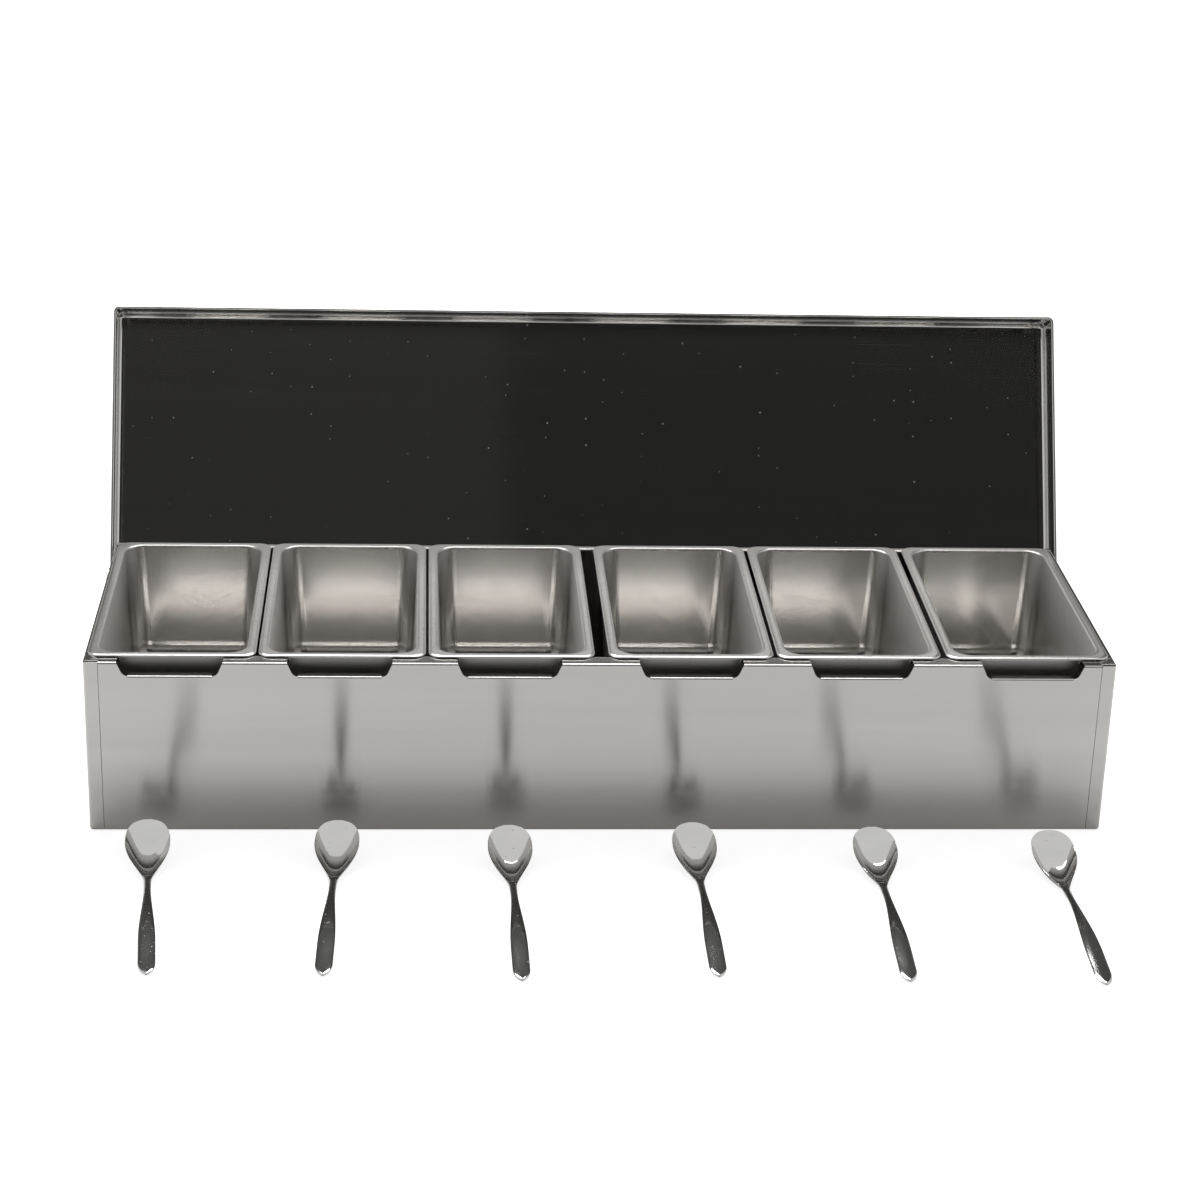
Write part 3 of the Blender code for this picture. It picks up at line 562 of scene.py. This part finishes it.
def add_wear(mat, across, up, specks, speck_size, scratched=0.0):
    """Dust specks as pale dull spots, and scratches as slightly rougher lines. Across and up
    pick the plane of the marks as weights of the object's X, Y and Z. Faces that stand steep to
    that plane get no specks, which would be drawn out to lines there."""
    tree = mat.node_tree
    shader = tree.nodes["Principled BSDF"]
    where = node(tree, "ShaderNodeTexCoord")
    plane = node(tree, "ShaderNodeCombineXYZ")
    for title, weights in (("X", across), ("Y", up)):
        along = node(tree, "ShaderNodeVectorMath", operation="DOT_PRODUCT")
        tree.links.new(where.outputs["Object"], along.inputs[0])
        along.inputs[1].default_value = weights
        tree.links.new(along.outputs["Value"], plane.inputs[title])
    marks = node(tree, "ShaderNodeGroup")
    marks.node_tree = wear_marks
    marks.inputs["Specks per Metre"].default_value = specks
    marks.inputs["Speck Size"].default_value = speck_size
    tree.links.new(plane.outputs[0], marks.inputs["Vector"])
    lean = node(tree, "ShaderNodeVectorMath", operation="DOT_PRODUCT")
    lean.inputs[1].default_value = np.cross(across, up)
    tree.links.new(where.outputs["Normal"], lean.inputs[0])
    facing = math_node(tree, "ABSOLUTE", lean.outputs["Value"])
    facing = math_node(tree, "GREATER_THAN", facing, LEAST_FACING)
    dust = math_node(tree, "MULTIPLY", marks.outputs["Dust"], facing)
    dusty = node(tree, "ShaderNodeMix", data_type="RGBA")
    dusty.inputs[7].default_value = DUST_COLOUR
    tree.links.new(dust, dusty.inputs[0])
    tree.links.new(shader.inputs["Base Color"].links[0].from_socket, dusty.inputs[6])
    tree.links.new(dusty.outputs[2], shader.inputs["Base Color"])
    tree.links.new(math_node(tree, "SUBTRACT", 1.0, dust), shader.inputs["Metallic"])
    was = shader.inputs["Roughness"].links[0].from_socket
    rub = math_node(tree, "MULTIPLY_ADD", marks.outputs["Scratch"], scratched, was)
    rub = math_node(tree, "MULTIPLY_ADD", dust, DUST_ROUGHNESS, rub)
    tree.links.new(rub, shader.inputs["Roughness"])


cover_steel = brushed_steel("cover_steel", (0.62, 0.615, 0.60), roughness=0.08, spread=0.4, depth=2e-7,
                            lines=600.0)
# Only the broad inner face is bright; the flanges and the outside are duller.
outward = (0, np.sin(OPEN), np.cos(OPEN))
vary_roughness(cover_steel, "ShaderNodeTexCoord", "Normal", low=-0.85, high=-0.5, share=1.8, along=outward)
up_the_cover = (0, 0.45, 0.89)
add_wear(cover_steel, (1, 0, 0), up_the_cover, specks=90.0, speck_size=0.040, scratched=0.05)
cover = piece("cover_shell", patches, cover_steel, caps=[last_row(rows)])
give_gauge(cover, COVER_SHEET, edge=COVER_EDGE)
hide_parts("cover")
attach(cover, "cover")


# Hinge pins, spacers and backing washers.
# Small turned steel pieces, plain finish, riveted by hand.

pin_steel = brushed_steel("pin_steel", (0.58, 0.575, 0.565), roughness=0.28, spread=0.0, depth=2e-6,
                          lines=2500.0, draw_out=1.0)
for word in ("left", "right"):
    for part in ("hinge_pin", "hinge_spacer", "hinge_backing"):
        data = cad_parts[f"{part}_{word}"].data
        data.materials.clear()
        data.materials.append(pin_steel)


# Pans.
# Deep drawn from 0.7 mm sheet with a satin finish, so the walls lean in a little and all corners
# are round; the flat rim hangs on the housing's seats and its edge is turned down.

PAN_SHEET, PAN_EDGE = 0.00068, 0.0001
RIM, RIM_EDGE, RIM_SKIRT, RIM_ROLL = 0.0048, 0.0008, 0.0002, 0.0010
EDGE_ROUND, ROLL_ROUND = 0.0015, 0.0014
PAN_DRAFT, PAN_FLOOR, PAN_DEEP = np.radians(2.5), 0.014, 0.070
RIM_CORNER, MOUTH_CORNER, FLOOR_CORNER = 0.0065, 0.0100, 0.0052
# The floor sags a little from its edge to a ring this far in, and the two have these corners.
FLOOR_RING, FLOOR_SAG, FLOOR_RING_CORNERS = 0.010, 0.0002, (0.0046, 0.002)
# Rows and columns that keep flats flat: beside the rim's bends, below its roll, at the top and the
# foot of the wall, and at a share of each side from its corner.
RIM_ROW, ROLL_ROW, WALL_TOP_ROW, WALL_FOOT_ROW, SIDE_COLUMN = 0.0003, 0.0004, 0.006, 0.001, 0.006
BEND_ROWS, WALL_ROWS = 10, 6
# Depths below the rim's top: the steel is brightest from the first down, dullest above the second.
BRIGHT_DEPTH, DULL_DEPTH = 0.036, 0.0006


def round_rectangle(half_x, half_y, radius, corner_steps=8, side_steps=10):
    """Closed outline, anticlockwise: four quarter circles of the radius about the corners of
    the inner rectangle, joined by straight sides, evenly divided but for a point near each end."""
    signs = np.array([[1, 1], [-1, 1], [-1, -1], [1, -1]], float)
    centres = signs * [half_x - radius, half_y - radius]
    angle = (np.arange(4)[:, None] + np.linspace(0, 1, corner_steps + 1)) * np.pi / 2
    arcs = centres[:, None] + radius * np.stack([np.cos(angle), np.sin(angle)], -1)
    t = np.concatenate([[SIDE_COLUMN], np.linspace(0, 1, side_steps + 1)[1:-1], [1 - SIDE_COLUMN]])
    t = t[None, :, None]
    sides = arcs[:, -1:] * (1 - t) + np.roll(arcs, -1, axis=0)[:, :1] * t
    return np.concatenate([arcs, sides], axis=1).reshape(-1, 2)


def pan_section():
    """Rows of inset from the rim's edge, drop below the rim's top and plan corner radius, from
    the turned-down edge over the rim and down the wall to the floor. Each bend is a quarter of
    an ellipse, and the wall leans in by the tangent of its draft times the drop."""
    quarter = np.linspace(0, np.pi / 2, BEND_ROWS)
    edge = np.column_stack([EDGE_ROUND * (1 - np.cos(quarter)), RIM_EDGE * (1 - np.sin(quarter))])
    edge = np.concatenate([[(0, RIM_EDGE + RIM_SKIRT)], edge, [(EDGE_ROUND + RIM_ROW, 0)]])
    roll_start = RIM - ROLL_ROUND
    roll = np.column_stack([roll_start + ROLL_ROUND * np.sin(quarter), RIM_ROLL * (1 - np.cos(quarter))])
    roll = np.concatenate([[(roll_start - RIM_ROW, 0)], roll])
    wall_foot = PAN_DEEP - PAN_FLOOR
    drop = np.linspace(WALL_TOP_ROW, wall_foot - WALL_FOOT_ROW, WALL_ROWS)
    drop = np.concatenate([[RIM_ROLL + ROLL_ROW], drop])
    wall = np.column_stack([RIM + np.tan(PAN_DRAFT) * (drop - RIM_ROLL), drop])
    foot_inset = RIM + np.tan(PAN_DRAFT) * (wall_foot - RIM_ROLL)
    turn_in = PAN_FLOOR * (1 - np.cos(quarter))
    low_round = np.column_stack([foot_inset + turn_in, wall_foot + PAN_FLOOR * np.sin(quarter)])
    floor_edge = foot_inset + PAN_FLOOR
    flat = [(floor_edge + FLAT_ROW, PAN_DEEP), (floor_edge + FLOOR_RING, PAN_DEEP + FLOOR_SAG)]
    radius = np.concatenate([np.full(len(edge), RIM_CORNER),
                             np.full(len(roll) + len(wall), MOUTH_CORNER),
                             MOUTH_CORNER + (FLOOR_CORNER - MOUTH_CORNER) * turn_in / PAN_FLOOR,
                             FLOOR_RING_CORNERS])
    return np.column_stack([np.concatenate([edge, roll, wall, low_round, flat]), radius])


# The bottom of the drawn hollow is the brightest; it gets duller towards the flat rim, and the
# outside is duller still.
pan_steel = brushed_steel("pan_steel", (0.60, 0.585, 0.565), roughness=0.145, spread=0.4, depth=1e-8,
                          lines=1500.0, draw_out=0.3, round_walls=True, uneven=0.02)
rim_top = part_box("pan_1")[1][2]
vary_roughness(pan_steel, "ShaderNodeTexCoord", "Object", rim_top - BRIGHT_DEPTH, rim_top - DULL_DEPTH,
               share=1.9)
# The side walls are drawn and rubbed hardest, so they are duller than the end walls.
for side in (-1, 1):
    vary_roughness(pan_steel, "ShaderNodeTexCoord", "Normal", low=0.35, high=0.9, share=2.3,
                   along=(side, 0, 0))
pan_outside = brushed_steel("pan_outside", (0.58, 0.57, 0.55), roughness=0.42, spread=0.4, depth=3e-8,
                            lines=1500.0, draw_out=0.3, round_walls=True)
for number in range(1, 7):
    low, high = (np.array(v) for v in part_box(f"pan_{number}"))
    middle = (low + high) / 2
    half = (high - low) / 2
    rings = []
    for inset, drop, radius in pan_section():
        outline = round_rectangle(half[0] - inset, half[1] - inset, radius) + middle[:2]
        rings.append(np.column_stack([outline, np.full(len(outline), high[2] - drop)]))
    rings = np.array(rings)
    pan = piece(f"drawn_pan_{number}", [grid_patch(rings, wrap=True)], pan_steel, sharp=60,
                caps=[last_row(rings)])
    give_gauge(pan, PAN_SHEET, edge=PAN_EDGE, back=pan_outside)
    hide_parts(f"pan_{number}")
    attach(pan, f"pan_{number}")


# Spoons.
# Pressed from thick stainless sheet and polished: egg-shaped bowl, round neck, and a handle that
# widens and flattens to a rounded end. Each lies on the table with its bowl towards the box.

SPOON_LENGTH, BOWL_WIDTH, BOWL_LENGTH, BOWL_WIDEST, BOWL_DEPTH = 0.1318, 0.0225, 0.046, 0.0148, 0.0066
TIP_RISE, NECK_WIDTH, NECK_RISE, NECK_THICK = 0.0145, 0.0036, 0.0050, 0.0026
HANDLE_WIDTH, HANDLE_TIP, HANDLE_THICK, HANDLE_RISE, BOWL_THICK = 0.0084, 0.0085, 0.0015, 0.0018, 0.0010
# Powers of the curves: the bowl's outline before and behind its widest place, and the hollow along
# and across it, which ends at a share of the bowl's length.
TIP_POWER, BACK_POWER, HOLLOW_POWER, DISH_POWER, HOLLOW_END = 2.6, 1.5, 0.8, 2.7, 0.92
# The section's power of sin(phi) in the bowl and at the neck: the lower, the squarer it is.
BOWL_CROWN, NECK_CROWN = 0.6, 0.95
# Stretches, as shares of the bowl's length and of the handle's, over which each change is made.
CROWN_RISES, BOWL_THICKENS = (0.6, 1.0), (0.7, 1.0)
HANDLE_WIDENS, HANDLE_FALLS, HANDLE_THINS = (0.1, 0.7), (0.1, 1.0), (0.0, 0.6)
# Sections lie closer towards both ends, at 1 - cos of angles from this one on.
FIRST_ANGLE = 0.12
END_SECTIONS, BOWL_SECTIONS, HANDLE_SECTIONS, SECTION_POINTS = 16, 20, 24, 48
BOX_LENGTH = 2 * PLATE_OUT
# Across as a share of the box's length, ahead of its front as a share of the spoon's length, and
# the turn in degrees.
SPOON_PLACES = ((-0.4404, 0.121, 4.9), (-0.2569, 0.129, -1.5), (-0.0922, 0.169, 1.3),
                (0.0865, 0.147, 0.8), (0.2618, 0.185, -0.2), (0.4352, 0.213, 0.5))


def ease(value, start, stop):
    """0 up to start and 1 from stop on, level at both: t squared times (3 - 2t) of the share t
    of the way between them."""
    t = np.clip((value - start) / (stop - start), 0, 1)
    return t * t * (3 - 2 * t)


def spoon_grid():
    """Closed sections from tip to handle end. Across each, u = cos(phi) runs over the width;
    height = edge - hollow (1 - |u| to the dish's power) - half the thickness (1 - lens), where
    lens is sin(phi) with its size to the crown's power."""
    near_end = 1 - np.cos(np.linspace(FIRST_ANGLE, np.pi / 2, END_SECTIONS))
    s = np.concatenate([BOWL_WIDEST * near_end,
                        np.linspace(BOWL_WIDEST, BOWL_LENGTH, BOWL_SECTIONS)[1:],
                        np.linspace(BOWL_LENGTH, SPOON_LENGTH - HANDLE_TIP, HANDLE_SECTIONS)[1:],
                        SPOON_LENGTH - HANDLE_TIP * near_end[-2::-1]])
    in_bowl = s < BOWL_LENGTH
    bowl = np.clip(s / BOWL_LENGTH, 0, 1)
    handle = np.clip((s - BOWL_LENGTH) / (SPOON_LENGTH - BOWL_LENGTH), 0, 1)

    # Half the width: a rounded oblong to the widest place, a cosine to the neck, and the handle.
    before = np.clip((BOWL_WIDEST - s) / BOWL_WIDEST, 0, 1) ** TIP_POWER
    front_half = BOWL_WIDTH / 2 * (1 - before) ** (1 / TIP_POWER)
    behind = np.clip((s - BOWL_WIDEST) / (BOWL_LENGTH - BOWL_WIDEST), 0, 1)
    narrowing = np.clip(np.cos(np.pi / 2 * behind), 0, None) ** BACK_POWER
    back_half = NECK_WIDTH / 2 + (BOWL_WIDTH - NECK_WIDTH) / 2 * narrowing
    left = np.clip((SPOON_LENGTH - s) / HANDLE_TIP, 0, 1)
    handle_half = NECK_WIDTH / 2 + (HANDLE_WIDTH - NECK_WIDTH) / 2 * ease(handle, *HANDLE_WIDENS)
    handle_half = handle_half * np.sqrt(1 - (1 - left) ** 2)
    half = np.where(s < BOWL_WIDEST, front_half, np.where(in_bowl, back_half, handle_half))

    # Height of the edge: over the bowl a parabola, at its middle as high as the hollow is deep and
    # the sheet thick; then the handle, which falls and arches.
    pull = 2 * (BOWL_DEPTH + BOWL_THICK) - (TIP_RISE + NECK_RISE) / 2
    edge_bowl = TIP_RISE * (1 - bowl) ** 2 + 2 * pull * bowl * (1 - bowl) + NECK_RISE * bowl ** 2
    edge_handle = (NECK_RISE + (HANDLE_THICK - NECK_RISE) * ease(handle, *HANDLE_FALLS)
                   + HANDLE_RISE * np.sin(np.pi * handle))
    edge = np.where(in_bowl, edge_bowl, edge_handle)

    # Depth of the hollow, half a sine drawn fuller, and thickness of the sheet.
    hollow = np.clip(np.sin(np.pi * np.clip(bowl / HOLLOW_END, 0, 1)), 0, None)
    hollow = BOWL_DEPTH * hollow ** HOLLOW_POWER
    thick = np.where(in_bowl, BOWL_THICK + (NECK_THICK - BOWL_THICK) * ease(bowl, *BOWL_THICKENS),
                     NECK_THICK + (HANDLE_THICK - NECK_THICK) * ease(handle, *HANDLE_THINS))

    phi = np.linspace(0, 2 * np.pi, SECTION_POINTS, endpoint=False)
    u = np.cos(phi)[None, :]
    crown = (BOWL_CROWN + (NECK_CROWN - BOWL_CROWN) * ease(bowl, *CROWN_RISES))[:, None]
    lens = np.sign(np.sin(phi))[None, :] * np.abs(np.sin(phi))[None, :] ** crown
    dip = hollow[:, None] * (1 - np.abs(u) ** DISH_POWER)
    z = edge[:, None] - dip - thick[:, None] / 2 + thick[:, None] / 2 * lens
    x = half[:, None] * u
    y = np.broadcast_to(-s[:, None], x.shape)
    return np.stack([x, y, z - z.min()], -1)


spoon_steel = brushed_steel("spoon_steel", (0.66, 0.655, 0.645), roughness=0.07, spread=0.0, depth=4e-7,
                            draw_out=0.4)
add_wear(spoon_steel, (1, 0, 0), (0, 1, 0), specks=260.0, speck_size=0.08)
x, y, z = np.moveaxis(spoon_grid(), -1, 0)
for number, (across, ahead, degrees) in enumerate(SPOON_PLACES, 1):
    cosine = np.cos(np.radians(degrees))
    sine = np.sin(np.radians(degrees))
    placed = np.stack([cosine * x - sine * y + across * BOX_LENGTH,
                       sine * x + cosine * y + FRONT - ahead * SPOON_LENGTH, z], -1)
    ends = [np.arange(placed.shape[1]), last_row(placed)[::-1]]
    spoon = piece(f"tea_spoon_{number}", [grid_patch(placed, wrap=True)], spoon_steel, sharp=60,
                  caps=ends, solid=True)
    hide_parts(f"spoon_{number}")
    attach(spoon, f"spoon_{number}")
